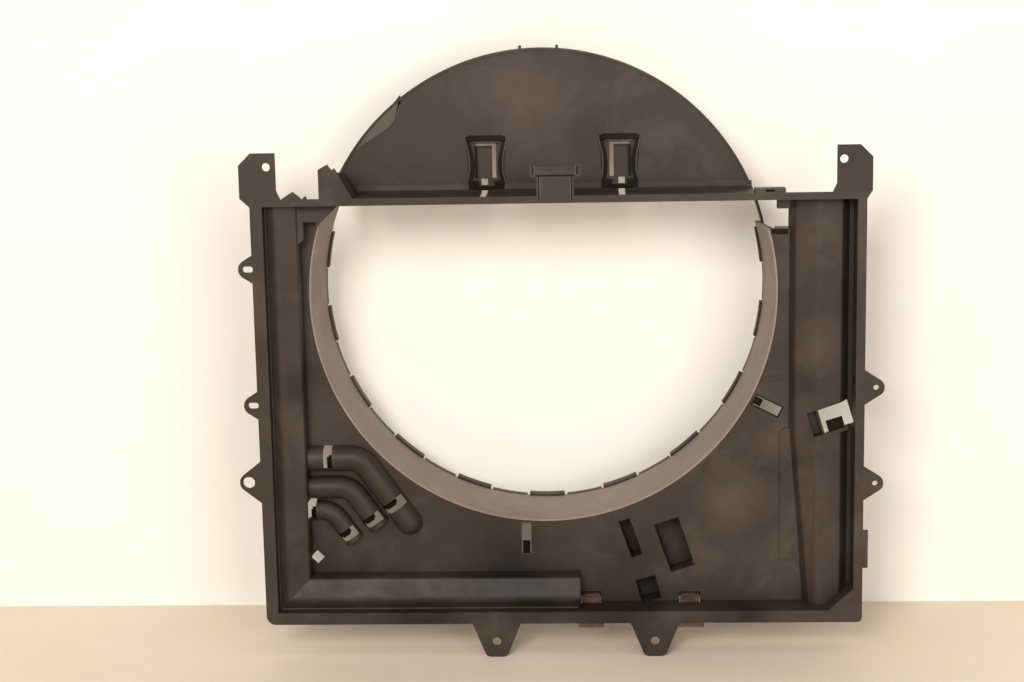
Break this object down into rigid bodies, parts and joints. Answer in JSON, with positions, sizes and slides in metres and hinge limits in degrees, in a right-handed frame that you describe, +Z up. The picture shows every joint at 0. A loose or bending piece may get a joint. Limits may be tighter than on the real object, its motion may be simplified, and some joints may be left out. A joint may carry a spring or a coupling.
{
  "type": "radiator fan shroud",
  "caption": "Flanged plastic cowl that holds one large fan against a car radiator and guides its air, with a rounded upper cowl, hose channels and snap latches.",
  "frame": {"origin": "middle of the bottom flange strip, on the flange's radiator-side face", "axes": "+Z up, +Y from the radiator side back to the engine side, +X to the right seen from the radiator side"},
  "size_m": [0.6831, 0.1205, 0.6502],
  "materials": {
    "moulding": "matte",
    "liner": "matte",
    "spring_steel": "rusty"
  },
  "bodies": {
    "shroud": {"tray": "moulding", "upper_cowl": "moulding", "fan_collar": "moulding", "bell_mouth": "liner", "top_bracket": "moulding", "rail_guide": "moulding", "corner_gusset": "moulding", "side_clip": "moulding", "flange_clips": "spring_steel", "clip_pocket": "moulding"},
    "hose_hook_a": {"hose_hook_a": "moulding"},
    "hose_hook_b": {"hose_hook_b": "moulding"},
    "hose_hook_c": {"hose_hook_c": "moulding"},
    "hose_hook_d": {"hose_hook_d": "moulding"},
    "hose_hook_e": {"hose_hook_e": "moulding"},
    "low_cable_hook": {"low_cable_hook": "moulding"},
    "high_cable_hook": {"high_cable_hook": "moulding"},
    "column_cable_hook": {"column_cable_hook": "moulding"},
    "left_latch": {"left_latch": "moulding"},
    "right_latch": {"right_latch": "moulding"}
  },
  "joints": [
    {"name": "hose_hook_a_flex", "type": "hinge", "parent": "shroud", "child": "hose_hook_a", "pos_m": [-0.2489, 0.03925, 0.1571], "axis": [-1, 0, 0], "range_deg": [0, 10], "stiffness_Nm_per_rad": 0.6},
    {"name": "hose_hook_b_flex", "type": "hinge", "parent": "shroud", "child": "hose_hook_b", "pos_m": [-0.2684, 0.03925, 0.1026], "axis": [-1, 0, 0], "range_deg": [0, 10], "stiffness_Nm_per_rad": 0.6},
    {"name": "hose_hook_c_flex", "type": "hinge", "parent": "shroud", "child": "hose_hook_c", "pos_m": [-0.19265, 0.03925, 0.11352], "axis": [-0.5736, 0, 0.8192], "range_deg": [0, 10], "stiffness_Nm_per_rad": 0.6},
    {"name": "hose_hook_d_flex", "type": "hinge", "parent": "shroud", "child": "hose_hook_d", "pos_m": [-0.21542, 0.03925, 0.09738], "axis": [-0.5736, 0, 0.8192], "range_deg": [0, 10], "stiffness_Nm_per_rad": 0.6},
    {"name": "hose_hook_e_flex", "type": "hinge", "parent": "shroud", "child": "hose_hook_e", "pos_m": [-0.24119, 0.03925, 0.08224], "axis": [-0.5736, 0, 0.8192], "range_deg": [0, 10], "stiffness_Nm_per_rad": 0.6},
    {"name": "low_cable_hook_flex", "type": "hinge", "parent": "shroud", "child": "low_cable_hook", "pos_m": [-0.0385, 0.03925, 0.0601], "axis": [-1, 0, 0], "range_deg": [0, 10], "stiffness_Nm_per_rad": 0.6},
    {"name": "high_cable_hook_flex", "type": "hinge", "parent": "shroud", "child": "high_cable_hook", "pos_m": [0.20743, 0.03925, 0.22982], "axis": [0.454, 0, 0.891], "range_deg": [0, 10], "stiffness_Nm_per_rad": 0.6},
    {"name": "column_cable_hook_flex", "type": "hinge", "parent": "shroud", "child": "column_cable_hook", "pos_m": [0.29458, 0.0255, 0.19861], "axis": [-0.9563, 0, -0.2924], "range_deg": [0, 10], "stiffness_Nm_per_rad": 0.6},
    {"name": "left_latch_flex", "type": "hinge", "parent": "shroud", "child": "left_latch", "pos_m": [-0.0793, 0.10175, 0.465], "axis": [-1, 0, 0], "range_deg": [0, 6], "stiffness_Nm_per_rad": 1.2},
    {"name": "right_latch_flex", "type": "hinge", "parent": "shroud", "child": "right_latch", "pos_m": [0.069, 0.10175, 0.465], "axis": [-1, 0, 0], "range_deg": [0, 6], "stiffness_Nm_per_rad": 1.2}
  ]
}
